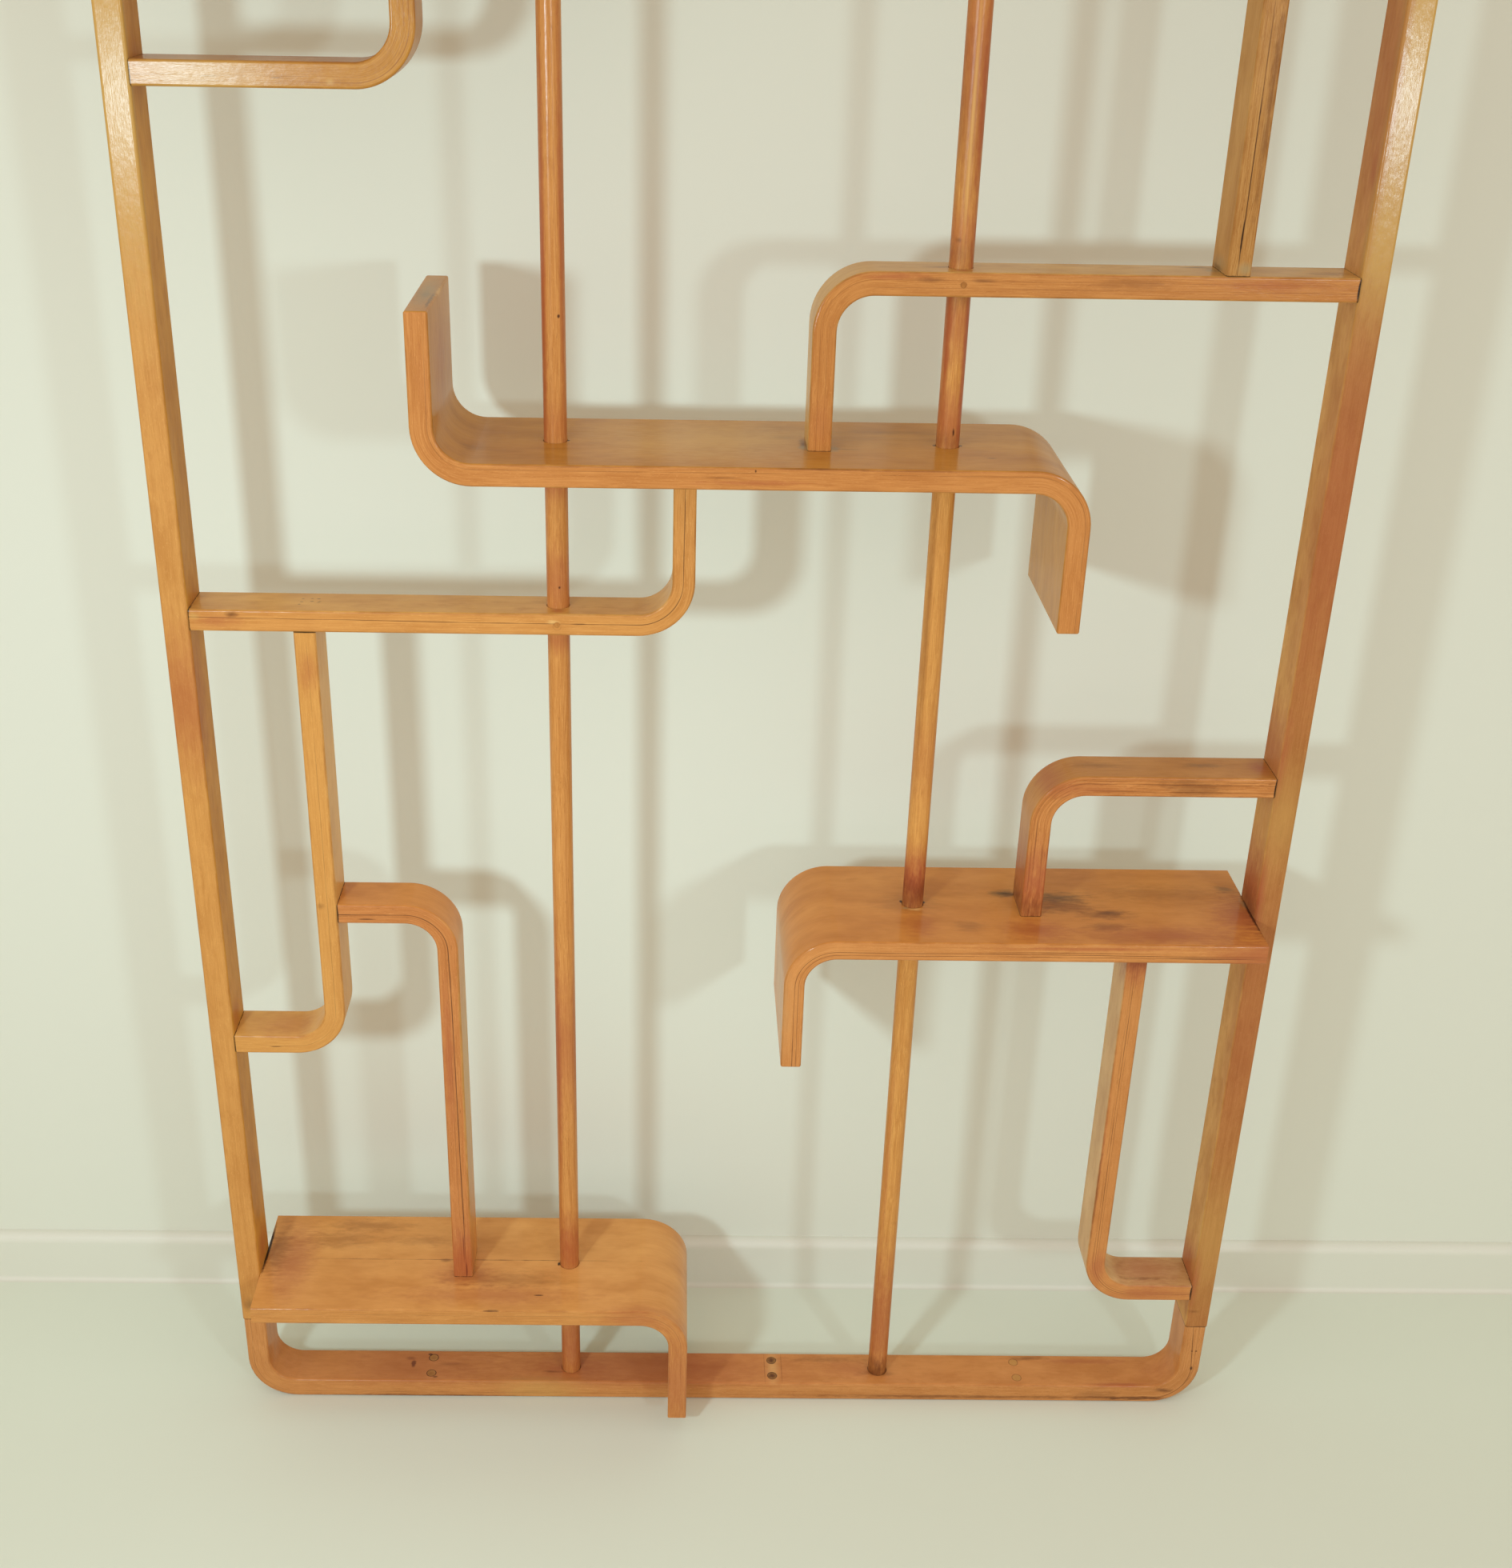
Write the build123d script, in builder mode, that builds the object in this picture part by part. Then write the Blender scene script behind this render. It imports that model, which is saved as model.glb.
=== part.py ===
from build123d import *
import os

# Room divider of bent and straight beech, an open frame with two rods, five shelves and ten
# narrow strips. It is wide in X, deep in Y and high in Z. The origin is on the floor under its
# middle, and sizes are in millimetres. The upper half repeats the lower half, turned half a turn
# about the level axis that runs from front to back through the middle.

# Frame
frame_width = 1030.0
frame_height = 2100.0
frame_depth = 47.0
rail_thickness = 22.5
rail_leg_height = 107.0
rail_bend_radius = 27.5
post_lip = 1.0
frame_arris = 2.5

# Rods
rod_diameter = 20.0
rod_hole_clearance = 0.5
rod_socket_depth = 14.0
rod_place_share = 0.326

# Shelves
shelf_depth = 150.0
shelf_thickness = 19.5
shelf_bend_radius = 30.0
shelf_arris = 2.0
centre_flange_length = 133.0
side_flange_length = 130.0
corner_shelf_rise = 50.0

# Narrow strips
strip_thickness = 20.0
strip_bend_radius = 30.0
strip_arris = 2.0
brace_foot_rise = 45.5

# Dowels, plugs and pins
dowel_diameter = 8.0
dowel_length = 30.0
post_dowel_length = 50.0
dowel_chamfer = 0.8
dowel_clearance = 0.1
dowel_end_gap = 0.5
side_bore_depth = 12.5
plug_diameter = 9.0
plug_length = 12.0
pin_diameter = 5.0
pin_length = 20.0

# Places across the frame, as shares of half its width, counted from the middle
centre_flange_share = 0.529
side_flange_share = 0.101
long_strip_leg_share = 0.1097
hanger_leg_share = 0.7592
inner_leg_share = 0.5403
brace_leg_share = 0.7495
outer_plug_share = 0.621

# Places up the frame, as shares of its height, counted from the floor
long_strip_share = 0.4286
hanger_foot_share = 0.2169
link_share = 0.2876
side_shelf_share = 0.2857
arm_share = 0.356

# Faces and centre lines that the pieces share
half_width = frame_width / 2
post_thickness = rail_thickness + post_lip
post_face = half_width - post_thickness
rail_end = half_width - post_lip - rail_thickness / 2
rail_level = rail_thickness / 2
rod_place = half_width * rod_place_share
rod_foot = rail_thickness - rod_socket_depth

centre_shelf_level = frame_height / 2
side_shelf_level = frame_height * side_shelf_share
corner_shelf_level = rail_leg_height + corner_shelf_rise
centre_flange_place = half_width * centre_flange_share
side_flange_place = half_width * side_flange_share

long_strip_level = frame_height * long_strip_share
long_strip_leg = half_width * long_strip_leg_share
hanger_leg = half_width * hanger_leg_share
hanger_foot_level = frame_height * hanger_foot_share
link_level = frame_height * link_share
inner_leg = half_width * inner_leg_share
arm_level = frame_height * arm_share
brace_leg = half_width * brace_leg_share
brace_foot_level = rail_leg_height + brace_foot_rise

centre_shelf_underside = centre_shelf_level - shelf_thickness / 2
side_shelf_top = side_shelf_level + shelf_thickness / 2
side_shelf_underside = side_shelf_level - shelf_thickness / 2
corner_shelf_top = corner_shelf_level + shelf_thickness / 2
long_strip_underside = long_strip_level - strip_thickness / 2

# Dowels stand in pairs, at the quarter points of the frame's depth
dowel_offset = frame_depth / 4
end_bore_depth = dowel_length - side_bore_depth + 2 * dowel_end_gap
post_bore_depth = post_dowel_length / 2 + dowel_end_gap
outer_plug_place = half_width * outer_plug_share
half_turn = (0, 180, 0)


# A joint is a plane on the face where one piece ends, facing into the piece that ends there
def joint_at(x, z, facing):
    return Plane(origin=(x, 0, z), x_dir=(0, 1, 0), z_dir=facing)


def turned(joint):
    place = joint.origin
    return joint_at(-place.X, frame_height - place.Z, -joint.z_dir)


rightward = (1, 0, 0)
leftward = (-1, 0, 0)
upward = (0, 0, 1)
downward = (0, 0, -1)

left_post_foot = joint_at(-rail_end, rail_leg_height, upward)
right_post_foot = joint_at(rail_end, rail_leg_height, upward)
long_strip_end = joint_at(-post_face, long_strip_level, rightward)
long_strip_head = joint_at(-long_strip_leg, centre_shelf_underside, downward)
hanger_head = joint_at(-hanger_leg, long_strip_underside, downward)
hanger_foot = joint_at(-post_face, hanger_foot_level, rightward)
link_end = joint_at(-hanger_leg + strip_thickness / 2, link_level, rightward)
link_foot = joint_at(-inner_leg, corner_shelf_top, upward)
arm_end = joint_at(post_face, arm_level, leftward)
arm_foot = joint_at(inner_leg, side_shelf_top, upward)
brace_head = joint_at(brace_leg, side_shelf_underside, downward)
brace_foot = joint_at(post_face, brace_foot_level, leftward)
side_shelf_end = joint_at(post_face, side_shelf_level, leftward)
corner_shelf_end = joint_at(-post_face, corner_shelf_level, rightward)
corner_shelf_foot = joint_at(-side_flange_place, rail_thickness, upward)

left_post_sides = [long_strip_end, hanger_foot, corner_shelf_end]
right_post_sides = [arm_end, brace_foot, side_shelf_end]


# Bends a board along a route in the frame's plane and rounds its long arrises; a free end is
# rounded all round, and an end that meets another piece stays flat
def bend_board(route, inner_radius, thickness, depth, arris, first_free=False, last_free=False):
    with BuildSketch(Plane.XZ) as outline:
        with BuildLine() as middle:
            FilletPolyline(*route, radius=inner_radius + thickness / 2)
        trace(line_width=thickness)
    board = extrude(outline.sketch, amount=depth / 2, both=True)
    first_end = board.faces().sort_by_distance(board_point(route[0]))[0]
    last_end = board.faces().sort_by_distance(board_point(route[-1]))[0]
    rounded = board.faces().filter_by(Axis.Y).edges()
    for end, is_free in ((first_end, first_free), (last_end, last_free)):
        rounded = rounded + end.edges() if is_free else rounded - end.edges()
    fillet(ShapeList(dict.fromkeys(rounded)), arris)
    return middle


def board_point(place):
    return Vector(place[0], 0, place[1])


# Bores a pair of blind dowel holes from a joint: into the piece that ends there where the depth
# is positive, and into the piece that carries it where it is negative
def bore_pair(joint, depth):
    with BuildSketch(joint) as mouths:
        with Locations((-dowel_offset, 0), (dowel_offset, 0)):
            Circle(dowel_diameter / 2 + dowel_clearance)
    extrude(mouths.sketch, amount=depth, mode=Mode.SUBTRACT)


def bore_ends(*joints):
    for joint in joints:
        bore_pair(joint, end_bore_depth)


def bore_sides(*joints):
    for joint in joints:
        bore_pair(joint, -side_bore_depth)


# Stands a pair of dowels in each joint, sunk by the given depth in the piece that carries it
def dowel_pairs(joints, length, sunk):
    for joint in joints:
        with BuildSketch(joint.offset(-sunk)) as feet:
            with Locations((-dowel_offset, 0), (dowel_offset, 0)):
                Circle(dowel_diameter / 2)
        extrude(feet.sketch, amount=length)
    chamfer(edges().filter_by(GeomType.CIRCLE), dowel_chamfer)


# Cuts the hole that a rod runs through, in a board at the given level
def rod_hole(x, level, thickness):
    with BuildSketch(Plane.XY.offset(level)) as mouth:
        with Locations((x, 0)):
            Circle(rod_diameter / 2 + rod_hole_clearance)
    extrude(mouth.sketch, amount=thickness, both=True, mode=Mode.SUBTRACT)


# Repeats a lower piece in the upper half, turned about the middle of the frame
def add_turned(piece):
    with Locations((0, 0, frame_height)):
        add(piece.part, rotation=half_turn)


# Bottom rail: bent up at both ends into the legs that carry the posts
rail_route = [
    (-rail_end, rail_leg_height),
    (-rail_end, rail_level),
    (rail_end, rail_level),
    (rail_end, rail_leg_height),
]
plug_places = [-outer_plug_place, side_flange_place, outer_plug_place]
plug_spots = [(x, y) for x in plug_places for y in (-dowel_offset, dowel_offset)]

with BuildPart() as bottom_rail:
    bend_board(rail_route, rail_bend_radius, rail_thickness, frame_depth, frame_arris)
    bore_pair(left_post_foot, -post_bore_depth)
    bore_pair(right_post_foot, -post_bore_depth)
    bore_sides(corner_shelf_foot)
    with BuildSketch(Plane.XY.offset(rail_thickness)):
        with Locations((-rod_place, 0), (rod_place, 0)):
            Circle(rod_diameter / 2 + rod_hole_clearance)
    extrude(amount=-rod_socket_depth, mode=Mode.SUBTRACT)
    with BuildSketch(Plane.XY.offset(rail_thickness)):
        with Locations(*plug_spots):
            Circle(plug_diameter / 2 + dowel_clearance)
    extrude(amount=-plug_length, mode=Mode.SUBTRACT)

with BuildPart() as top_rail:
    add_turned(bottom_rail)

# Plugs close the rails' spare dowel holes
with BuildPart() as bottom_rail_plugs:
    with BuildSketch(Plane.XY.offset(rail_thickness)):
        with Locations(*plug_spots):
            Circle(plug_diameter / 2)
    extrude(amount=-plug_length)

with BuildPart() as top_rail_plugs:
    add_turned(bottom_rail_plugs)

# Posts: straight, doweled onto the rails' legs, and flush with them inside
with BuildPart() as left_post:
    with BuildSketch(Plane.XY.offset(rail_leg_height)):
        with Locations((post_thickness / 2 - half_width, 0)):
            RectangleRounded(post_thickness, frame_depth, frame_arris)
    extrude(amount=frame_height - 2 * rail_leg_height)
    bore_pair(left_post_foot, post_bore_depth)
    bore_pair(turned(right_post_foot), post_bore_depth)
    bore_sides(*left_post_sides, *[turned(joint) for joint in right_post_sides])

with BuildPart() as right_post:
    add_turned(left_post)

# Rods: let into both rails, each pinned where its long strip crosses it
pin_reach = pin_length - (frame_depth - rod_diameter) / 2
with BuildPart() as left_rod:
    with BuildSketch(Plane.XY.offset(rod_foot)):
        with Locations((-rod_place, 0)):
            Circle(rod_diameter / 2)
    extrude(amount=frame_height - 2 * rod_foot)
    with BuildSketch(Plane.XZ.offset(rod_diameter / 2)):
        with Locations((-rod_place, long_strip_level)):
            Circle(pin_diameter / 2 + dowel_clearance)
    extrude(amount=-pin_reach - dowel_end_gap, mode=Mode.SUBTRACT)

with BuildPart() as right_rod:
    add_turned(left_rod)

# Shelves
centre_shelf_route = [
    (-centre_flange_place, centre_shelf_level + centre_flange_length),
    (-centre_flange_place, centre_shelf_level),
    (centre_flange_place, centre_shelf_level),
    (centre_flange_place, centre_shelf_level - centre_flange_length),
]
side_shelf_route = [
    (post_face, side_shelf_level),
    (side_flange_place, side_shelf_level),
    (side_flange_place, side_shelf_level - side_flange_length),
]
corner_shelf_route = [
    (-post_face, corner_shelf_level),
    (-side_flange_place, corner_shelf_level),
    (-side_flange_place, rail_thickness),
]
shelf_section = (shelf_bend_radius, shelf_thickness, shelf_depth, shelf_arris)

with BuildPart() as centre_shelf:
    bend_board(centre_shelf_route, *shelf_section, first_free=True, last_free=True)
    rod_hole(-rod_place, centre_shelf_level, shelf_thickness)
    rod_hole(rod_place, centre_shelf_level, shelf_thickness)
    bore_sides(long_strip_head, turned(long_strip_head))

with BuildPart() as lower_right_shelf:
    bend_board(side_shelf_route, *shelf_section, last_free=True)
    rod_hole(rod_place, side_shelf_level, shelf_thickness)
    bore_ends(side_shelf_end)
    bore_sides(arm_foot, brace_head)

with BuildPart() as upper_left_shelf:
    add_turned(lower_right_shelf)

with BuildPart() as lower_left_shelf:
    bend_board(corner_shelf_route, *shelf_section)
    rod_hole(-rod_place, corner_shelf_level, shelf_thickness)
    bore_ends(corner_shelf_end, corner_shelf_foot)
    bore_sides(link_foot)

with BuildPart() as upper_right_shelf:
    add_turned(lower_left_shelf)

# Long strips: from a post past a rod and round to the centre shelf
long_strip_route = [
    (-post_face, long_strip_level),
    (-long_strip_leg, long_strip_level),
    (-long_strip_leg, centre_shelf_underside),
]
strip_section = (strip_bend_radius, strip_thickness, frame_depth, strip_arris)

with BuildPart() as left_long_strip:
    bend_board(long_strip_route, *strip_section)
    rod_hole(-rod_place, long_strip_level, strip_thickness)
    bore_ends(long_strip_end, long_strip_head)
    bore_sides(hanger_head)
    with BuildSketch(Plane.XZ.offset(frame_depth / 2)):
        with Locations((-rod_place, long_strip_level)):
            Circle(pin_diameter / 2 + dowel_clearance)
    extrude(amount=-frame_depth / 2, mode=Mode.SUBTRACT)

with BuildPart() as right_long_strip:
    add_turned(left_long_strip)

# Hangers: from a long strip along the post and round to it
hanger_route = [
    (-hanger_leg, long_strip_underside),
    (-hanger_leg, hanger_foot_level),
    (-post_face, hanger_foot_level),
]

with BuildPart() as lower_left_hanger:
    bend_board(hanger_route, *strip_section)
    bore_ends(hanger_head, hanger_foot)
    bore_sides(link_end)

with BuildPart() as upper_right_hanger:
    add_turned(lower_left_hanger)

# Links: from a hanger round to the corner shelf
link_route = [
    (-hanger_leg + strip_thickness / 2, link_level),
    (-inner_leg, link_level),
    (-inner_leg, corner_shelf_top),
]

with BuildPart() as lower_left_link:
    bend_board(link_route, *strip_section)
    bore_ends(link_end, link_foot)

with BuildPart() as upper_right_link:
    add_turned(lower_left_link)

# Arms: from a post round onto the side shelf
arm_route = [
    (post_face, arm_level),
    (inner_leg, arm_level),
    (inner_leg, side_shelf_top),
]

with BuildPart() as lower_right_arm:
    bend_board(arm_route, *strip_section)
    bore_ends(arm_end, arm_foot)

with BuildPart() as upper_left_arm:
    add_turned(lower_right_arm)

# Braces: from under the side shelf down along the post and round to it
brace_route = [
    (brace_leg, side_shelf_underside),
    (brace_leg, brace_foot_level),
    (post_face, brace_foot_level),
]

with BuildPart() as lower_right_brace:
    bend_board(brace_route, *strip_section)
    bore_ends(brace_head, brace_foot)

with BuildPart() as upper_left_brace:
    add_turned(lower_right_brace)

# Dowels: a pair in every joint, grouped by what they hold
post_joints = [left_post_foot, right_post_foot]
shelf_joints = [side_shelf_end, corner_shelf_end, corner_shelf_foot]
post_strip_joints = [long_strip_end, hanger_foot, arm_end, brace_foot]
shelf_strip_joints = [long_strip_head, link_foot, arm_foot, brace_head]
strip_strip_joints = [hanger_head, link_end]


def with_turned(joints):
    return joints + [turned(joint) for joint in joints]


side_sunk = side_bore_depth - dowel_end_gap
with BuildPart() as post_dowels:
    dowel_pairs(with_turned(post_joints), post_dowel_length, post_dowel_length / 2)

with BuildPart() as shelf_dowels:
    dowel_pairs(with_turned(shelf_joints), dowel_length, side_sunk)

with BuildPart() as strip_to_post_dowels:
    dowel_pairs(with_turned(post_strip_joints), dowel_length, side_sunk)

with BuildPart() as strip_to_shelf_dowels:
    dowel_pairs(with_turned(shelf_strip_joints), dowel_length, side_sunk)

with BuildPart() as strip_to_strip_dowels:
    dowel_pairs(with_turned(strip_strip_joints), dowel_length, side_sunk)

# Pins: through the front edge of each long strip into its rod
with BuildPart() as rod_pins:
    with BuildSketch(Plane.XZ.offset(frame_depth / 2)):
        with Locations(
            (-rod_place, long_strip_level), (rod_place, frame_height - long_strip_level)
        ):
            Circle(pin_diameter / 2)
    extrude(amount=-pin_length)

# Each finished piece is written under its own name
pieces = {
    "bottom_rail": bottom_rail,
    "top_rail": top_rail,
    "bottom_rail_plugs": bottom_rail_plugs,
    "top_rail_plugs": top_rail_plugs,
    "left_post": left_post,
    "right_post": right_post,
    "left_rod": left_rod,
    "right_rod": right_rod,
    "centre_shelf": centre_shelf,
    "lower_right_shelf": lower_right_shelf,
    "upper_left_shelf": upper_left_shelf,
    "lower_left_shelf": lower_left_shelf,
    "upper_right_shelf": upper_right_shelf,
    "left_long_strip": left_long_strip,
    "right_long_strip": right_long_strip,
    "lower_left_hanger": lower_left_hanger,
    "upper_right_hanger": upper_right_hanger,
    "lower_left_link": lower_left_link,
    "upper_right_link": upper_right_link,
    "lower_right_arm": lower_right_arm,
    "upper_left_arm": upper_left_arm,
    "lower_right_brace": lower_right_brace,
    "upper_left_brace": upper_left_brace,
    "post_dowels": post_dowels,
    "shelf_dowels": shelf_dowels,
    "strip_to_post_dowels": strip_to_post_dowels,
    "strip_to_shelf_dowels": strip_to_shelf_dowels,
    "strip_to_strip_dowels": strip_to_strip_dowels,
    "rod_pins": rod_pins,
}

os.makedirs("parts", exist_ok=True)
for label, piece in pieces.items():
    piece.part.label = label
    export_step(piece.part, f"parts/{label}.step")
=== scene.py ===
import bpy, math
from functools import partial
from mathutils import Matrix, Vector


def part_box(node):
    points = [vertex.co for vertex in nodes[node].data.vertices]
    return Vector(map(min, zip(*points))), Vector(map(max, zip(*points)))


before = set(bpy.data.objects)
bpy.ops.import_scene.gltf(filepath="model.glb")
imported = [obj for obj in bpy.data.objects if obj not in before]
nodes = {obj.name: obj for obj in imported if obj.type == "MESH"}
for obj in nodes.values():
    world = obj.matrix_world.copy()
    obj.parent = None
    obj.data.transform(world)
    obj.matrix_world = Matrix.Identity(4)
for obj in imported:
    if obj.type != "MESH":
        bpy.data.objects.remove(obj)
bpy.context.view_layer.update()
print("frame loaded,", len(nodes), "nodes")

mm = 0.001


def linearColour(hexText):  # sRGB hex to the linear values that shaders take
    parts = [int(hexText[i:i + 2], 16) / 255 for i in (1, 3, 5)]
    return [c / 12.92 if c <= 0.04045 else ((c + 0.055) / 1.055) ** 2.4 for c in parts] + [1.0]


# Adds a node; each of its inputs is given a value, another node's first output or a socket
def addNode(tree, kind, inputs=None, **settings):
    node = tree.nodes.new(kind)
    for key, value in settings.items():
        setattr(node, key, value)
    for key, value in (inputs or {}).items():
        value = value.outputs[0] if isinstance(value, bpy.types.Node) else value
        if isinstance(value, bpy.types.NodeSocket):
            tree.links.new(value, node.inputs[key])
        else:
            node.inputs[key].default_value = value
    return node


def newMaterial(name):
    material = bpy.data.materials.new(name)
    material.use_nodes = True
    material.node_tree.nodes.clear()
    return material, partial(addNode, material.node_tree)


# Camera: about head height and a little left of the middle, looking down on the lower two thirds
camera = {
    "place": (-0.06445, -1.56996, 1.49566),
    "lookDown": 25.863,  # degrees, as turn and roll
    "turn": -0.756,
    "roll": 0.998,
    "lens": 42.97,  # millimetres
    "shift": 0.03913,
}


def placeCamera():
    bpy.ops.object.select_all(action="DESELECT")
    bpy.ops.object.camera_add()
    shot = bpy.context.object
    shot.matrix_world = (
        Matrix.Translation(camera["place"])
        @ Matrix.Rotation(math.radians(camera["turn"]), 4, "Z")
        @ Matrix.Rotation(math.radians(90 - camera["lookDown"]), 4, "X")
        @ Matrix.Rotation(math.radians(camera["roll"]), 4, "Z")
    )
    shot.data.lens = camera["lens"]
    shot.data.shift_x = camera["shift"]
    bpy.context.scene.camera = shot


# Lamps: two round softboxes a little below the camera's height, one each side, and an even pale surround.
# The lamps are a trace cooler than the surround, so shadows and faces turned from them look warm.
lamps = {
    "softboxes": {
        "leftSoftbox": {"place": (-0.84, -1.46, 1.27), "aim": (-0.1, 0.1, 0.55), "size": 0.16, "watts": 5.9},
        "rightSoftbox": {"place": (1.24, -2.47, 1.34), "aim": (0.1, 0.1, 0.60), "size": 0.24, "watts": 5.8},
    },
    "colour": "#dcf6ff",
    "spread": 120,  # degrees, so the light falls off towards the sides
    "surroundColour": "#ffe9d9",
    "surroundStrength": 0.86,
}


def placeLamps():
    for name, lamp in lamps["softboxes"].items():
        bpy.ops.object.light_add(type="AREA", location=lamp["place"])
        light = bpy.context.object
        light.name = name
        light.data.shape = "DISK"
        light.data.size = lamp["size"]
        light.data.energy = lamp["watts"]
        light.data.color = linearColour(lamps["colour"])[:3]
        light.data.spread = math.radians(lamps["spread"])
        aim = Vector(lamp["aim"]) - Vector(lamp["place"])
        light.rotation_euler = aim.to_track_quat("-Z", "Y").to_euler()
    world = bpy.data.worlds.new("paleSurround")
    world.use_nodes = True
    sky = world.node_tree.nodes["Background"]
    sky.inputs["Color"].default_value = linearColour(lamps["surroundColour"])
    sky.inputs["Strength"].default_value = lamps["surroundStrength"]
    bpy.context.scene.world = world
    bpy.context.scene.view_settings.view_transform = "Standard"


placeCamera()
placeLamps()
print("camera and lamps placed")

# Floor and backdrop, in metres: a matt painted floor and a pale wall close behind the divider, with a low
# satin skirting
backdrop = {
    "floorColour": "#dde5d7",
    "wallColour": "#dee3d7",
    "skirtingColour": "#dcdfd3",
    "skirtingRoughness": 0.5,
    "wallPlace": 0.172,
    "ledge": 0.012,
    "skirtingHeight": 0.064,
    "topRound": 0.011,
    "footRound": 0.005,
    "footStrip": 0.00525,  # a little wider than its rounding
    "roundSteps": 8,
    "reach": 6.0,
    "wallHeight": 4.0,
    "floorDrop": 0.0004,
}


# Matt wall and floor paint: no gloss to speak of, so only soft shadows show on them. The skirting's satin
# paint catches a thin line of light along its rounded top. The wall is clear from behind, where it would hide
# the divider.
def paintedSurface(name, colour, clearFromBehind, satin=False):
    material, add = newMaterial(name)
    colour = linearColour(colour)
    if satin:
        roughness = backdrop["skirtingRoughness"]
        shown = add("ShaderNodeBsdfPrincipled", {"Base Color": colour, "Roughness": roughness})
    else:
        shown = add("ShaderNodeBsdfDiffuse", {"Color": colour})
    if clearFromBehind:
        behind = add("ShaderNodeNewGeometry").outputs["Backfacing"]
        shown = add("ShaderNodeMixShader", {0: behind, 1: shown, 2: add("ShaderNodeBsdfTransparent")})
    add("ShaderNodeOutputMaterial", {"Surface": shown})
    return material


# Picks the vertices whose place the chosen function takes, and goes on in edit mode
def selectVertices(piece, chosen):
    bpy.ops.object.mode_set(mode="OBJECT")
    for vertex in piece.data.vertices:
        vertex.select = chosen(vertex.co)
    for edge in piece.data.edges:
        edge.select = all(piece.data.vertices[i].select for i in edge.vertices)
    for face in piece.data.polygons:
        face.select = False
    bpy.ops.object.mode_set(mode="EDIT")


def buildStage():
    reach, height, ledge = backdrop["reach"], backdrop["skirtingHeight"], backdrop["ledge"]
    foot = backdrop["wallPlace"] - ledge
    bpy.ops.object.select_all(action="DESELECT")
    bpy.ops.mesh.primitive_plane_add(size=2 * reach, location=(0, 0, -backdrop["floorDrop"]))
    floor = bpy.context.object
    floor.name = "floor"
    floor.data.materials.append(paintedSurface("matt painted floor", backdrop["floorColour"], False))

    # the wall starts as a strip on the floor, is pulled up the skirting, back over it and up, and is rounded
    bpy.ops.object.select_all(action="DESELECT")
    bpy.ops.mesh.primitive_plane_add(size=2 * reach, location=(0, 0, 0))
    wallSheet = bpy.context.object
    wallSheet.name = "wall"
    bpy.ops.object.mode_set(mode="EDIT")
    bpy.ops.mesh.select_mode(type="EDGE")
    selectVertices(wallSheet, lambda place: place.y > 0)
    bpy.ops.transform.translate(value=(0, foot - reach, 0))
    selectVertices(wallSheet, lambda place: place.y < 0)
    bpy.ops.transform.translate(value=(0, reach + foot - backdrop["footStrip"], 0))
    selectVertices(wallSheet, lambda place: place.y > foot - backdrop["footRound"] / 2)
    for step in ((0, 0, height), (0, ledge, 0), (0, 0, backdrop["wallHeight"])):
        bpy.ops.mesh.extrude_region_move(TRANSFORM_OT_translate={"value": step})
    for level, radius in ((height, backdrop["topRound"]), (0.0, backdrop["footRound"])):
        selectVertices(wallSheet, lambda place: abs(place.z - level) < mm and abs(place.y - foot) < mm)
        bpy.ops.mesh.bevel(offset=radius, segments=backdrop["roundSteps"], profile=0.5)
    bpy.ops.object.mode_set(mode="OBJECT")
    wallPaint = paintedSurface("matt painted wall", backdrop["wallColour"], True)
    skirtingPaint = paintedSurface("satin painted wood", backdrop["skirtingColour"], True, satin=True)
    wallSheet.data.materials.append(wallPaint)
    wallSheet.data.materials.append(skirtingPaint)
    for face in wallSheet.data.polygons:
        face.material_index = 1 if face.center.z < height + mm else 0


buildStage()
print("stage built")

# How each bent piece is cut: thickness and inside bend radius in millimetres, and the corner of its box where
# it bends, as right or left (1, -1) and top or bottom (1, -1)
sections = {"rail": (22.5, 27.5), "shelf": (19.5, 30.0), "strip": (20.0, 30.0)}
bentPieces = {
    "bottom_rail": ("rail", 1, -1), "top_rail": ("rail", 1, 1), "centre_shelf": ("shelf", 1, 1),
    "lower_right_shelf": ("shelf", -1, 1), "upper_left_shelf": ("shelf", 1, -1),
    "lower_left_shelf": ("shelf", 1, 1), "upper_right_shelf": ("shelf", -1, -1),
    "left_long_strip": ("strip", 1, -1), "right_long_strip": ("strip", -1, 1),
    "lower_left_hanger": ("strip", 1, -1), "upper_right_hanger": ("strip", -1, 1),
    "lower_left_link": ("strip", 1, 1), "upper_right_link": ("strip", -1, -1),
    "lower_right_arm": ("strip", -1, 1), "upper_left_arm": ("strip", 1, -1),
    "lower_right_brace": ("strip", -1, -1), "upper_left_brace": ("strip", 1, 1),
}


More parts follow.
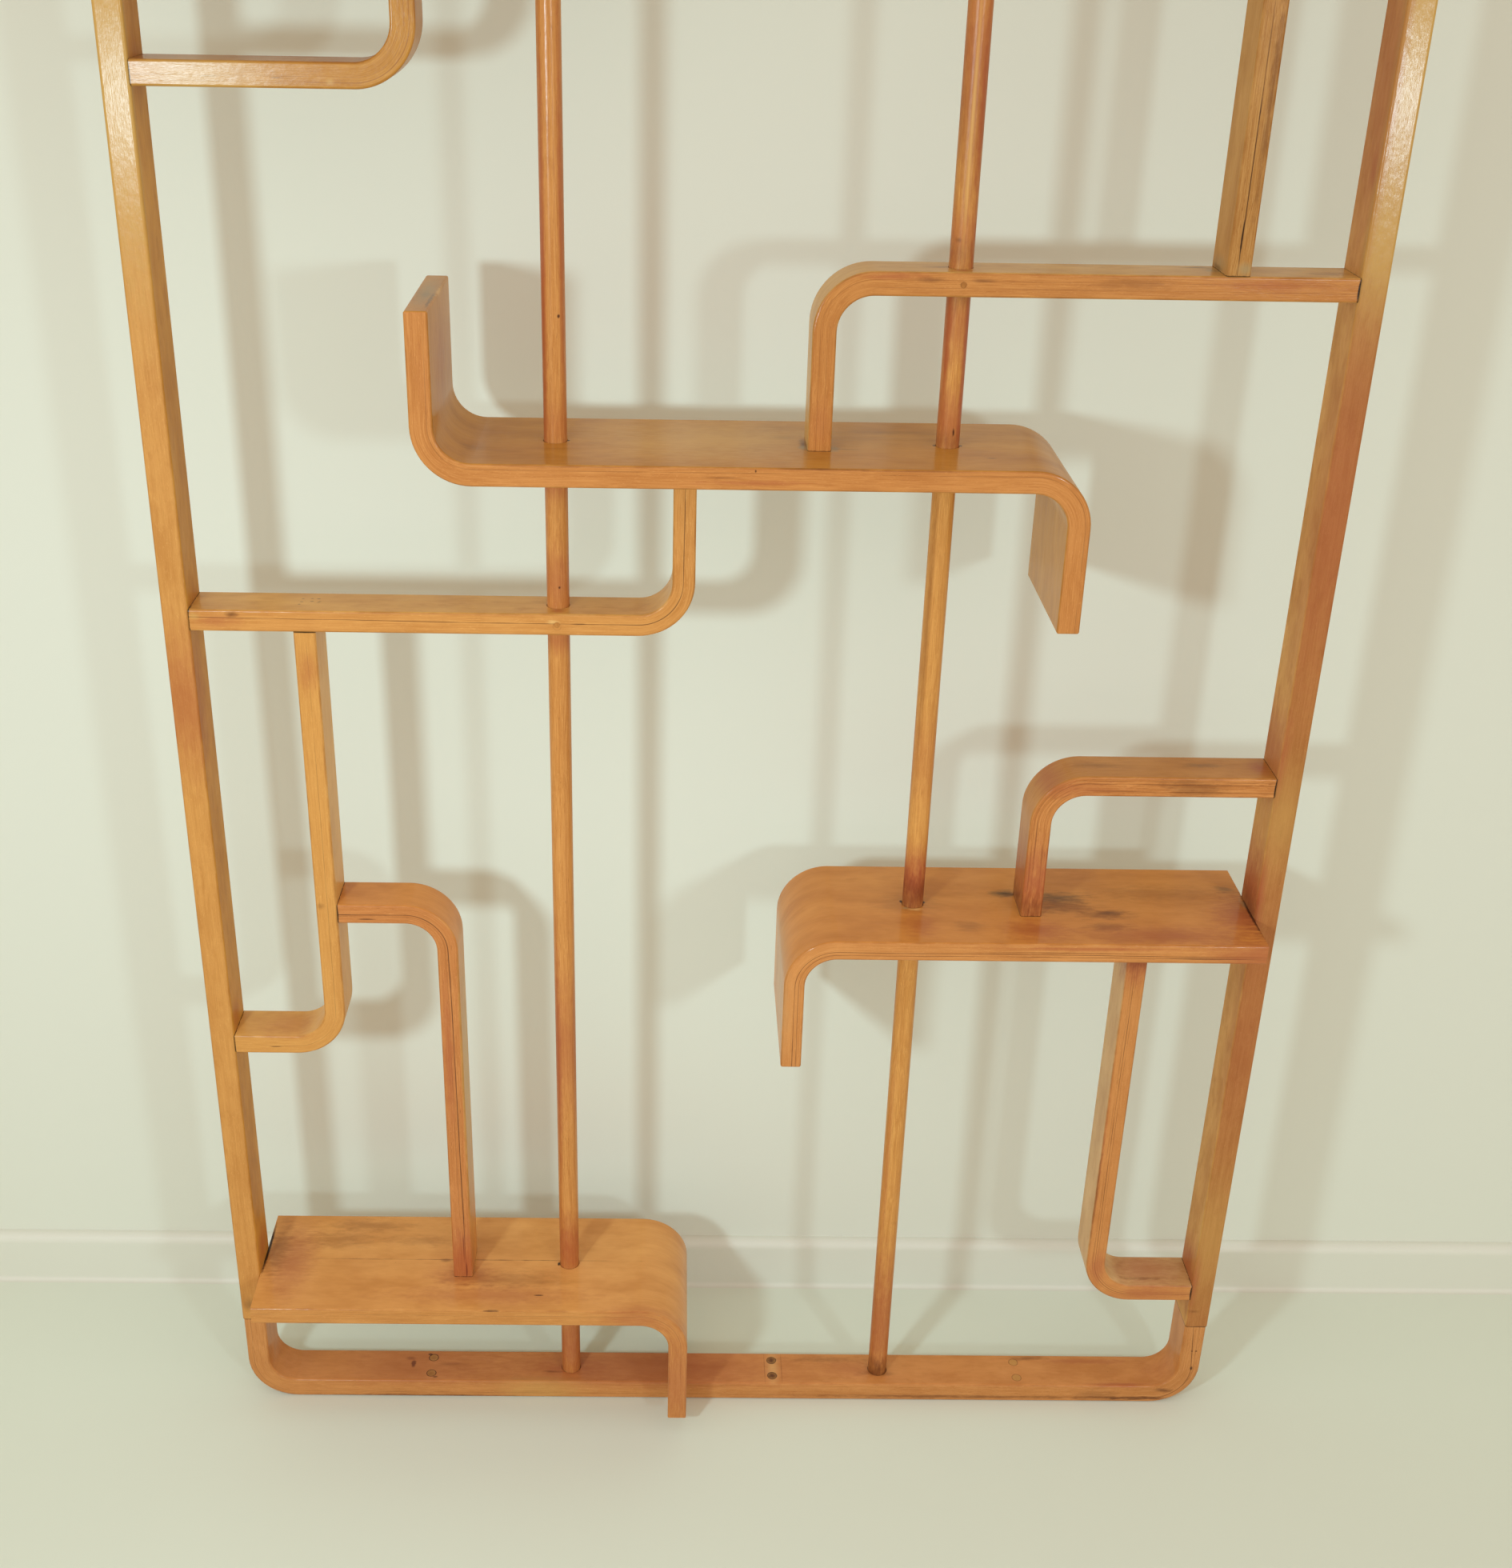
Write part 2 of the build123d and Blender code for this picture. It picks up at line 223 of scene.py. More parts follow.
# Grain coordinates in millimetres: along the board round its bend, across it, and through its thickness.
# Both rails and the centre shelf bend at both ends, so their left half is folded onto the right one.
def grainCoordinates(add, place, name):
    low, high = [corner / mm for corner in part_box(name)]
    parts = add("ShaderNodeSeparateXYZ", {0: place}).outputs
    across = parts[1]
    if name not in bentPieces:
        through = add("ShaderNodeMath", {0: parts[0], 1: (low.x + high.x) / 2}, operation="SUBTRACT")
        return parts[2], across, through
    kind, outX, outZ = bentPieces[name]
    thickness, inside = sections[kind]
    radius = inside + thickness / 2
    corner = Vector((high.x if outX > 0 else low.x, 0, high.z if outZ > 0 else low.z))
    twoBends = kind == "rail" or name == "centre_shelf"
    level = 0.0
    if name == "centre_shelf":
        level = (low.z + high.z) / 2
        corner.z = thickness / 2
    centre = corner - Vector((outX, 0, outZ)) * (inside + thickness)
    if twoBends:
        side = add("ShaderNodeMath", {0: parts[0], 1: 0.0}, operation="GREATER_THAN")
        side = add("ShaderNodeMath", {0: side, 1: 2.0, 2: -1.0}, operation="MULTIPLY_ADD")
        sideways = add("ShaderNodeCombineXYZ", {0: side, 1: 1.0, 2: side if level else 1.0})
        place = add("ShaderNodeVectorMath", {0: place, 1: (0, 0, level)}, operation="SUBTRACT")
        place = add("ShaderNodeVectorMath", {0: place, 1: sideways}, operation="MULTIPLY")
    outward, toCentre = (outX, 0, outZ), (-outX * centre.x, 0, -outZ * centre.z)
    outwards = add("ShaderNodeVectorMath", {0: place, 1: outward, 2: toCentre}, operation="MULTIPLY_ADD")
    bend = add("ShaderNodeVectorMath", {0: outwards, 1: (0, 0, 0)}, operation="MAXIMUM")
    legs = add("ShaderNodeVectorMath", {0: outwards, 1: (0, 0, 0)}, operation="MINIMUM")
    alongLegs = add("ShaderNodeVectorMath", {0: legs, 1: (1, 0, -1)}, operation="DOT_PRODUCT")
    alongLegs = alongLegs.outputs["Value"]
    bendParts = add("ShaderNodeSeparateXYZ", {0: bend}).outputs
    turned = add("ShaderNodeMath", {0: bendParts[0], 1: bendParts[2]}, operation="ARCTAN2")
    along = add("ShaderNodeMath", {0: turned, 1: radius, 2: alongLegs}, operation="MULTIPLY_ADD")
    fromCentre = add("ShaderNodeVectorMath", {0: bend}, operation="LENGTH").outputs["Value"]
    through = add("ShaderNodeMath", {0: fromCentre, 1: radius}, operation="SUBTRACT")
    if twoBends:
        along = add("ShaderNodeMath", {0: along, 1: centre.x}, operation="ADD")
        along = add("ShaderNodeMath", {0: along, 1: side}, operation="MULTIPLY")
    if level:
        through = add("ShaderNodeMath", {0: through, 1: side}, operation="MULTIPLY")
    return along, across, through


# Beech under an old amber lacquer. The veneered faces are even and cloudy; the sawn edges of the laminated
# boards are lighter and more yellow, with fine streaks, short brown pores along the grain and thin dark glue
# lines. The lacquer is a clear satin-gloss coat, so rods show in the shelves they pass and the lamps glare on
# the posts.
beech = {
    "pore": "#6b3517",
    "deeper": (0.78, 0.68, 0.56),  # late wood against its piece's tone, in linear light: darker and redder
    "paler": (1.18, 1.28, 1.42),
    "fleck": (1.35, 1.6, 2.0),
    # each pattern's size along, across and through the board in millimetres, its detail and roughness;
    # real fibres and pores are about a tenth of this, drawn as coarse as they need to show
    "patterns": {
        "fibre": ((38.0, 0.7, 0.7), 3.0, 0.5),
        "band": ((240.0, 6.0, 3.4), 2.0, 0.5),
        "cloud": ((75.0, 30.0, 30.0), 3.0, 0.6),
        "patch": ((26.0, 11.0, 11.0), 4.0, 0.6),
        "pore": ((7.0, 0.55, 0.55), 1.0, 0.5),
        "fleck": ((3.2, 0.6, 0.6), 1.0, 0.5),
        "fade": ((42.0, 90.0, 3.0), 2.0, 0.5),
        "drift": ((160.0, 400.0, 400.0), 1.0, 0.5),
        "ragged": ((13.0, 4.0, 4.0), 6.0, 0.62),
        "ripple": ((10.0, 6.0, 6.0), 3.0, 0.5),
    },
    # layers over the piece's tone: pattern, where it starts and is full, how strong, and which shade
    "faceLayers": (
        ("cloud", 0.48, 0.70, 0.7, "deeper"),
        ("cloud", 0.46, 0.28, 0.55, "paler"),
        ("patch", 0.53, 0.72, 0.5, "deeper"),
        ("patch", 0.45, 0.30, 0.25, "paler"),
        ("fibre", 0.52, 0.78, 0.3, "deeper"),
        ("pore", 0.70, 0.80, 0.25, "pore"),
    ),
    "edgeLayers": (
        ("cloud", 0.46, 0.70, 0.55, "deeper"),
        ("patch", 0.52, 0.74, 0.45, "deeper"),
        ("band", 0.46, 0.72, 0.5, "deeper"),
        ("band", 0.42, 0.25, 0.3, "paler"),
        ("fibre", 0.47, 0.32, 0.5, "paler"),
        ("fibre", 0.52, 0.70, 0.65, "deeper"),
        ("fleck", 0.63, 0.74, 0.3, "fleck"),
        ("pore", 0.64, 0.80, 0.4, "pore"),
    ),
    "noiseRange": (0.3, 0.7),  # nearly all values of a noise pattern lie between these
    "patternShift": (613.0, 171.0, 97.0),  # millimetres from one piece's patterns to the next one's
    "wanderSize": (150.0, 60.0, 60.0),
    "wander": (2.5, 0.75),  # how far the grain strays across the board and through it, in millimetres
    "edgeNormal": (0.5, 0.9),  # a surface that looks this far to the front or back is a sawn edge
    "rodEdge": (0.6, 0.9),  # a turned rod shows mostly edge wood all round
    "roughness": (0.42, 0.58),
    "ior": 1.5,  # of wood cells and of lacquer
    "specular": 0.08,
    "coat": 0.44,
    "coatRoughness": 0.22,
    "fibreDepth": 0.00004,  # metres
    "rippleDepth": 0.00014,
    "faceRelief": 0.4,  # fibres stand up less on the faces than on the sawn edges
}
glueLines = {
    "fade": (0.35, 0.6),  # where the fading pattern hides a line and where the line is whole
    "least": 0.35,  # share of its width that stays where it is hidden
    "core": 0.35,  # share of its width that is full dark
    "drift": 0.4,  # how far the lines stray through the board, in millimetres
}
arrises = {
    "width": 2.0,  # millimetres, fading in up to the margin
    "margin": 0.2,
    "gloss": 0.2,  # share of the lacquer's gloss that is left
    # where each tone starts and is full in the patch pattern, its least and most cover
    "tones": (("brown", 0.44, 0.6, 0.3, 0.9), ("pale", 0.42, 0.34, 0.0, 0.35)),
}
specks = {
    "spacing": 17.0,  # millimetres
    "size": (0.035, 0.018),  # where a speck ends and where it is full, as shares of the spacing
    "kept": (0.6, 0.8),  # leaves out more than half of them
    "strength": 0.6,
}
tones = {  # what a mark is made of, or, for some marks below, the colour of a painted shade, sheen or highlight
    "gap": "#1d0d07",
    "crack": "#3a1a0c",
    "dirt": "#613519",
    "red": "#a35233",
    "stain": "#5f4a30",
    "glue": "#a48f66",
    "pale": "#e8bd78",
    "filler": "#c9a05c",
    "honey": "#c59d55",
    "brown": "#8c5527",
}
sharpTones = ("gap", "crack")  # these are full over a share of their reach; the rest fade from the middle
sharpCore = 0.4


# An ellipsoid of a tone, its middle and its reach in millimetres
def mark(tone, at, size, strength=0.7, ragged=0.6, **more):
    return {"tone": tone, "at": at, "size": size, "strength": strength, "ragged": ragged, **more}


def ring(at, radius, strength=0.8, tone="crack", rim=0.16):  # the dark rim of a plug or pin
    return mark(tone, at, (radius, radius, radius), strength, 0.3, rim=rim)


# A thin dark line all round an end where it meets its neighbour
def joint(axis, at, strength=0.8, thickness=0.8, reach=400.0):
    size = [reach, reach, reach]
    size["xyz".index(axis)] = thickness
    return mark("gap", at, tuple(size), strength, 2.2)


# One stain, crack, ring or dark joint on a piece, or a patch of painted shade, sheen or highlight
def addMark(add, place, ragged, colour, spot):
    shares = tuple(1 / side for side in spot["size"])
    away = add("ShaderNodeVectorMath", {0: place, 1: spot["at"]}, operation="SUBTRACT")
    away = add("ShaderNodeVectorMath", {0: away, 1: shares}, operation="MULTIPLY")
    away = add("ShaderNodeVectorMath", {0: away}, operation="LENGTH").outputs["Value"]
    away = add("ShaderNodeMath", {0: ragged, 1: spot["ragged"], 2: away}, operation="MULTIPLY_ADD")
    if "rim" in spot:  # keep only a rim this share of the radius wide
        away = add("ShaderNodeMath", {0: away, 1: 1.0}, operation="SUBTRACT")
        away = add("ShaderNodeMath", {0: away}, operation="ABSOLUTE")
        away = add("ShaderNodeMath", {0: away, 1: spot["rim"]}, operation="DIVIDE")
    core = sharpCore if spot["tone"] in sharpTones else 0.0
    fading = {0: away, 1: 1.0, 2: core, 3: 0.0, 4: spot["strength"]}
    cover = add("ShaderNodeMapRange", fading, interpolation_type="SMOOTHSTEP")
    tone = linearColour(tones[spot["tone"]])
    return add("ShaderNodeMix", {0: cover, 6: colour, 7: tone}, data_type="RGBA").outputs[2]


# One thin glue line between two layers, fading in and out along the board. Its depth from the board's middle
# and its width are in millimetres, and its slope is how much deeper it gets per millimetre of board.
def addGlueLine(add, colour, along, depth, broken, line):
    hidden, whole = glueLines["fade"]
    least = line.get("least", glueLines["least"])
    core = line["width"] * glueLines["core"]
    away = add("ShaderNodeMath", {0: along, 1: -line.get("slope", 0.0), 2: depth}, operation="MULTIPLY_ADD")
    away = add("ShaderNodeMath", {0: away, 1: line["depth"]}, operation="SUBTRACT")
    away = add("ShaderNodeMath", {0: away}, operation="ABSOLUTE")
    seen = add("ShaderNodeMapRange", {0: broken, 1: hidden, 2: whole, 3: least, 4: 1.0})
    away = add("ShaderNodeMath", {0: away, 1: seen}, operation="DIVIDE")
    cover = add("ShaderNodeMapRange", {0: away, 1: line["width"], 2: core, 4: line["strength"]})
    tone = linearColour(tones[line.get("tone", "crack")])
    return add("ShaderNodeMix", {0: cover, 6: colour, 7: tone}, data_type="RGBA").outputs[2]


# The wood of one side: its tone, and over it the layers of deeper, paler and pore-brown pattern
def addWood(add, patterns, tone, layers, piece):
    colour = linearColour(tone)
    shades = {"pore": linearColour(beech["pore"])}
    for shade in ("deeper", "paler", "fleck"):
        shades[shade] = [min(part * share, 1.0) for part, share in zip(colour, beech[shade])] + [1.0]
    for pattern, start, full, strength, shade in layers:
        strength *= piece.get(pattern, 1.0)
        cover = add("ShaderNodeMapRange", {0: patterns[pattern], 1: start, 2: full, 4: strength})
        colour = add("ShaderNodeMix", {0: cover, 6: colour, 7: shades[shade]}, data_type="RGBA").outputs[2]
    return colour


# How near a point is to a long arris, from 0 to 1
def addArrisShare(add, name, across, through):
    low, high = [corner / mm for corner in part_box(name)]
    thickness = sections[bentPieces[name][0]][0] if name in bentPieces else high.x - low.x
    corner = thickness / 2 + (high.y - low.y) / 2
    sides = [add("ShaderNodeMath", {0: part}, operation="ABSOLUTE") for part in (across, through)]
    near = add("ShaderNodeMath", {0: sides[0], 1: sides[1]}, operation="ADD")
    start, full = corner - arrises["width"], corner - arrises["margin"]
    return add("ShaderNodeMapRange", {0: near, 1: start, 2: full})


# Scattered dark specks, under a millimetre across
def addSpecks(add, place, colour):
    ends, full = specks["size"]
    dropped, whole = specks["kept"]
    speck = add("ShaderNodeTexVoronoi", {"Vector": place, "Scale": 1 / specks["spacing"]}).outputs
    kept = add("ShaderNodeMapRange", {0: speck["Color"], 1: dropped, 2: whole, 4: specks["strength"]})
    cover = add("ShaderNodeMapRange", {0: speck["Distance"], 1: ends, 2: full})
    cover = add("ShaderNodeMath", {0: cover, 1: kept}, operation="MULTIPLY")
    pore = linearColour(beech["pore"])
    return add("ShaderNodeMix", {0: cover, 6: colour, 7: pore}, data_type="RGBA").outputs[2]


def beechMaterial(name, piece, seed):
    material, add = newMaterial("lacquered beech " + name.replace("_", " "))
    least, most = beech["noiseRange"]
    place = add("ShaderNodeTexCoord").outputs["Object"]
    place = add("ShaderNodeVectorMath", {0: place, "Scale": 1 / mm}, operation="SCALE")
    along, across, through = grainCoordinates(add, place, name)
    grain = add("ShaderNodeCombineXYZ", {0: along, 1: across, 2: through})
    shift = tuple(seed * step for step in beech["patternShift"])
    grain = add("ShaderNodeVectorMath", {0: grain, 1: shift}, operation="ADD")

    # the grain wanders a little from side to side
    shares = tuple(1 / side for side in beech["wanderSize"])
    wide = add("ShaderNodeVectorMath", {0: grain, 1: shares}, operation="MULTIPLY")
    wander = add("ShaderNodeTexNoise", {"Vector": wide, "Scale": 1.0})
    wander = add("ShaderNodeMapRange", {0: wander, 1: least, 2: most, 3: -1.0, 4: 1.0})
    sideways = add("ShaderNodeVectorMath", {0: wander, 1: (0.0, *beech["wander"])}, operation="MULTIPLY")
    grain = add("ShaderNodeVectorMath", {0: grain, 1: sideways}, operation="ADD")
    patterns = {}
    for pattern, (size, detail, roughness) in beech["patterns"].items():
        shares = tuple(1 / side for side in size)
        scaled = add("ShaderNodeVectorMath", {0: grain, 1: shares}, operation="MULTIPLY")
        noise = {"Vector": scaled, "Scale": 1.0, "Detail": detail, "Roughness": roughness}
        patterns[pattern] = add("ShaderNodeTexNoise", noise)

    # sawn edge or veneered face, by which way the surface looks
    if piece.get("round"):
        lowest, highest = beech["rodEdge"]
        mixed = {0: patterns["cloud"], 1: least, 2: most, 3: lowest, 4: highest}
        onEdge = add("ShaderNodeMapRange", mixed)
    else:
        faceEnds, edgeStarts = beech["edgeNormal"]
        normal = add("ShaderNodeSeparateXYZ", {0: add("ShaderNodeNewGeometry").outputs["Normal"]}).outputs[1]
        onEdge = add("ShaderNodeMath", {0: normal}, operation="ABSOLUTE")
        onEdge = add("ShaderNodeMapRange", {0: onEdge, 1: faceEnds, 2: edgeStarts})
    face = addWood(add, patterns, piece["face"], beech["faceLayers"], piece)
    edge = addWood(add, patterns, piece["edge"], beech["edgeLayers"], piece)

    # glue lines between the layers of a bent board show on its edges
    drift = glueLines["drift"]
    depth = add("ShaderNodeMapRange", {0: patterns["drift"], 1: least, 2: most, 3: -drift, 4: drift})
    depth = add("ShaderNodeMath", {0: depth, 1: through}, operation="ADD")
    for line in piece.get("lines", ()):
        edge = addGlueLine(add, edge, along, depth, patterns["fade"], line)
    colour = add("ShaderNodeMix", {0: onEdge, 6: face, 7: edge}, data_type="RGBA").outputs[2]

    # the lacquer is duller on the posts' sides and rubbed off the long arrises, which are pale in places and
    # hold brown dirt in others
    coat = piece.get("coat", beech["coat"])
    gloss = coat
    if not piece.get("round"):
        near = addArrisShare(add, name, across, through)
        gloss = add("ShaderNodeMapRange", {0: onEdge, 3: coat * piece.get("faceGloss", 1.0), 4: coat})
        kept = add("ShaderNodeMapRange", {0: near, 3: 1.0, 4: arrises["gloss"]})
        gloss = add("ShaderNodeMath", {0: gloss, 1: kept}, operation="MULTIPLY")
        for tone, start, full, lowest, highest in arrises["tones"]:
            cover = {0: patterns["patch"], 1: start, 2: full, 3: lowest, 4: highest}
            cover = add("ShaderNodeMapRange", cover)
            cover = add("ShaderNodeMath", {0: near, 1: cover}, operation="MULTIPLY")
            tone = linearColour(tones[tone])
            colour = add("ShaderNodeMix", {0: cover, 6: colour, 7: tone}, data_type="RGBA").outputs[2]

    colour = addSpecks(add, place, colour)
    ragged = add("ShaderNodeMath", {0: patterns["ragged"], 1: 0.5}, operation="SUBTRACT")
    for spot in piece.get("marks", ()):
        colour = addMark(add, place, ragged, colour, spot)

    # fibres, deeper on the sawn edges, and over them a slight ripple in the lacquer
    height = add("ShaderNodeMath", {0: patterns["fibre"], 1: patterns["pore"]}, operation="ADD")
    relief = add("ShaderNodeMapRange", {0: onEdge, 3: beech["faceRelief"], 4: 1.0})
    height = add("ShaderNodeMath", {0: height, 1: relief}, operation="MULTIPLY")
    fine = add("ShaderNodeBump", {"Height": height, "Distance": beech["fibreDepth"]})
    ripple = {"Height": patterns["ripple"], "Distance": beech["rippleDepth"], "Normal": fine}
    surface = add("ShaderNodeBump", ripple)
    if "lean" in piece:  # a post a little twisted in its joints, which moves the lamp's glare along it
        surface = add("ShaderNodeVectorMath", {0: surface, 1: piece["lean"]}, operation="ADD")
        surface = add("ShaderNodeVectorMath", {0: surface}, operation="NORMALIZE")
    smooth, rough = beech["roughness"]
    roughness = {0: patterns["fibre"], 1: least, 2: most, 3: smooth, 4: rough}
    finish = {
        "Base Color": colour,
        "Roughness": add("ShaderNodeMapRange", roughness),
        "IOR": beech["ior"],
        "Specular IOR Level": beech["specular"],
        "Normal": surface,
        "Coat Weight": gloss,
        "Coat Roughness": piece.get("coatRoughness", beech["coatRoughness"]),
        "Coat IOR": beech["ior"],
        "Coat Normal": surface,
    }
    add("ShaderNodeOutputMaterial", {"Surface": add("ShaderNodeBsdfPrincipled", finish)})
    return material


# Places on the divider in millimetres, as the marks below use them
front, shelfFront = -23.5, -75.0  # the front of frame and strips, and of the shelves
rodPlace, postFace = 167.9, 491.5  # rods and the posts' inner faces, left and right of the middle
railTop, cornerTop, sideTop, centreTop = 22.5, 166.75, 609.7, 1059.8
braceTop, armTop, leftStripTop, rightStripTop = 162.5, 757.6, 910.1, 1209.9
plugLeft, plugMiddle, plugRight, plugSide = -319.8, 52.0, 319.8, 11.75

# Each piece: the tones of its faces and sawn edges, and a factor for each pattern that is weaker or stronger on
# it. The faces keep a faceGloss share of the lacquer's gloss, and lean tilts the surface's normal.
leftPost = {
    "face": "#c58b38", "edge": "#ca904c", "pore": 0.5, "fibre": 0.6, "patch": 1.3,
    "coat": 0.25, "coatRoughness": 0.18, "faceGloss": 0.6, "lean": (0.0, 0.0, 0.03), "band": 0.7,
    "marks": [
        mark("stain", (-506, front, 126), (9, 4, 14), 0.45),
        # painted highlight: a golden honey patch where the lamp's glare falls on the post's upper front
        mark("honey", (-503, front, 1350), (60, 12, 260), 1.0, 0.5),
        mark("red", (-503, front, 822), (60, 60, 110), 0.5, 0.8),
        mark("red", (-postFace, 0, 905), (3, 26, 26), 0.4),
        mark("red", (-postFace, -8, 480), (3, 20, 26), 0.5),
        mark("red", (-postFace, 0, 190), (3, 30, 34), 0.6),
        mark("red", (-postFace, 0, 1352), (3, 26, 34), 0.4),
        joint("z", (-503, 0, 107), 0.6),
    ],
}
rightPost = {
    "face": "#cf9a57", "edge": "#af743e", "pore": 0.6, "fibre": 0.7, "cloud": 1.2,
    "patch": 1.6, "coat": 0.36, "coatRoughness": 0.15, "faceGloss": 0.2, "lean": (-0.02, 0.0, 0.048),
    "marks": [
        # painted highlight: golden honey patches in and just below the lamp's glare on the post's upper front
        mark("honey", (503, front, 1400), (120, 16, 330), 1.0, 0.5),
        mark("honey", (503, front, 1240), (90, 16, 90), 0.7, 0.7),
        mark("red", (503, front, 1000), (60, 60, 240), 0.45, 0.7),
        mark("red", (503, front, 570), (40, 40, 60), 0.2, 0.7),
        mark("red", (503, front, 470), (40, 30, 150), 0.3, 0.5),
        mark("honey", (503, front, 715), (40, 14, 90), 0.4, 0.5),
        mark("honey", (503, front, 225), (60, 14, 130), 0.4, 0.5),
        mark("red", (postFace, -10, 1294), (4, 12, 26), 0.5, 0.8),
        mark("red", (postFace, 0, 1360), (10, 90, 240), 0.55, 0.7),
        # painted shade: a redder, darker band on the inner face just above the side shelf, where that corner is
        # in shade
        mark("red", (postFace, 0, 628), (10, 90, 80), 0.85, 0.8),
        mark("dirt", (postFace, 0, 612), (6, 60, 30), 0.5, 1.0),
        mark("red", (postFace, 0, 168), (10, 90, 60), 0.7, 0.8),
        mark("red", (postFace, 0, 775), (10, 90, 70), 0.6, 0.8),
        mark("dirt", (497, front, 128), (9, 4, 3), 0.4),
        joint("z", (503, 0, 107), 0.7),
    ],
}
bottomRail = {
    "face": "#cd8a4c", "edge": "#c5864a",
    "lines": [
        {"depth": 41.5, "slope": -0.075, "width": 0.55, "strength": 0.75},
        {"depth": 4.5, "width": 0.6, "strength": 0.3},
    ],
    "marks": [
        mark("crack", (-341, 2, railTop), (3.2, 7, 4), 0.85, 1.2),
        mark("dirt", (-345, 11, railTop), (7, 4, 4), 0.5, 1.2),
        mark("dirt", (-300, 2, railTop), (26, 5, 4), 0.3, 1.4),
        mark("dirt", (44.1, 0, railTop), (0.8, 40, 3), 0.4, 0.8),
        mark("dirt", (62.7, 0, railTop), (0.8, 40, 3), 0.4, 0.8),
        mark("pale", (53, 0, railTop), (10, 40, 4), 0.55, 0.6),
        mark("red", (-90, 0, railTop), (260, 80, 12), 0.45, 0.9),
        mark("red", (-340, 0, railTop), (130, 80, 12), 0.35, 0.9),
        mark("dirt", (-188, -8, railTop), (16, 2.5, 3), 0.6, 1.2),
        mark("dirt", (168, -6, railTop), (24, 7, 4), 0.5, 1.2),
        mark("dirt", (335, 18, railTop), (34, 5, 4), 0.5, 1.2),
        mark("dirt", (110, 14, railTop), (60, 7, 4), 0.35, 1.4),
        mark("red", (140, 0, railTop), (45, 20, 4), 0.35, 1.2),
        mark("red", (430, -21, railTop), (50, 4, 4), 0.6, 1.2),
        mark("red", (400, 14, railTop), (70, 6, 4), 0.45, 1.4),
        mark("red", (470, 0, 40), (30, 26, 26), 0.5, 0.8),
        mark("red", (-462, 0, 42), (34, 24, 24), 0.45, 0.8),
        mark("red", (-168, 0, railTop), (60, 24, 4), 0.35, 1.0),
        mark("dirt", (-330, front, 1.5), (170, 4, 3.2), 0.8, 1.6),
        mark("dirt", (245, front, 5.5), (240, 4, 3.4), 0.6, 1.6),
        mark("crack", (-324, 17, railTop), (3, 2, 2), 0.7, 1.2),
        mark("crack", (-315, -17, railTop), (4, 2, 2), 0.6, 1.2),
        mark("dirt", (447, front, 5.5), (52, 4, 3.2), 0.9, 1.6),
        mark("dirt", (408, front, 8), (34, 14, 16), 0.35, 1.2),
        mark("honey", (-200, front, 11), (70, 14, 30), 0.4, 1.0),
        mark("dirt", (479, front, 17), (15, 4, 4), 0.8, 1.2),
        mark("crack", (505.3, front, 49), (1.8, 3, 3.5), 0.8),
        mark("crack", (503, front, 73), (1.4, 3, 1.6), 0.7),
        mark("crack", (507.5, front, 73), (1.4, 3, 1.6), 0.7),
        joint("z", (503, 0, 107), 0.6),
        joint("z", (-503, 0, 107), 0.6),
    ] + [ring((x, y, railTop), 4.9) for x in (plugLeft, plugMiddle) for y in (-plugSide, plugSide)]
    + [ring((plugRight, y, railTop), 4.9, 0.35) for y in (-plugSide, plugSide)],
}
railPlugs = {
    "face": "#c08a48", "edge": "#c08a48",
    "marks": [mark("dirt", (plugMiddle, y, railTop), (9, 9, 9), 1.0) for y in (-plugSide, plugSide)]
    + [mark("brown", (plugLeft, y, railTop), (9, 9, 9), 0.6) for y in (-plugSide, plugSide)],
}
leftRod = {
    "round": True, "face": "#c38344", "edge": "#cb8c49", "band": 2.0, "fibre": 1.5,
    "cloud": 0.6, "patch": 0.7,
    "marks": [
        mark("red", (-rodPlace, 0, z), (60, 60, long), strength, 0.9)
        for z, long, strength in (
            (1075, 30, 0.3), (1030, 30, 0.7), (935, 50, 0.5), (880, 20, 0.5), (450, 120, 0.5), (195, 60, 0.7),
            (140, 24, 0.5), (60, 80, 0.7),
        )
    ] + [
        mark("crack", (-163, -9, 1167), (1.6, 3, 2.2), 0.9),
        mark("crack", (-166, -9.8, 930), (1.2, 2, 1.6), 0.8),
        # red streaks down the rod's two sides: partly the wood's own streaks, partly painted shade that darkens
        # the rod towards its sides
        mark("red", (-176, -6, 1200), (5, 12, 300), 0.85, 0.8),
        mark("red", (-160, -6, 1240), (4, 12, 260), 0.7, 0.8),
        mark("red", (-175, -6, 420), (5, 12, 260), 0.7, 0.8),
    ],
}
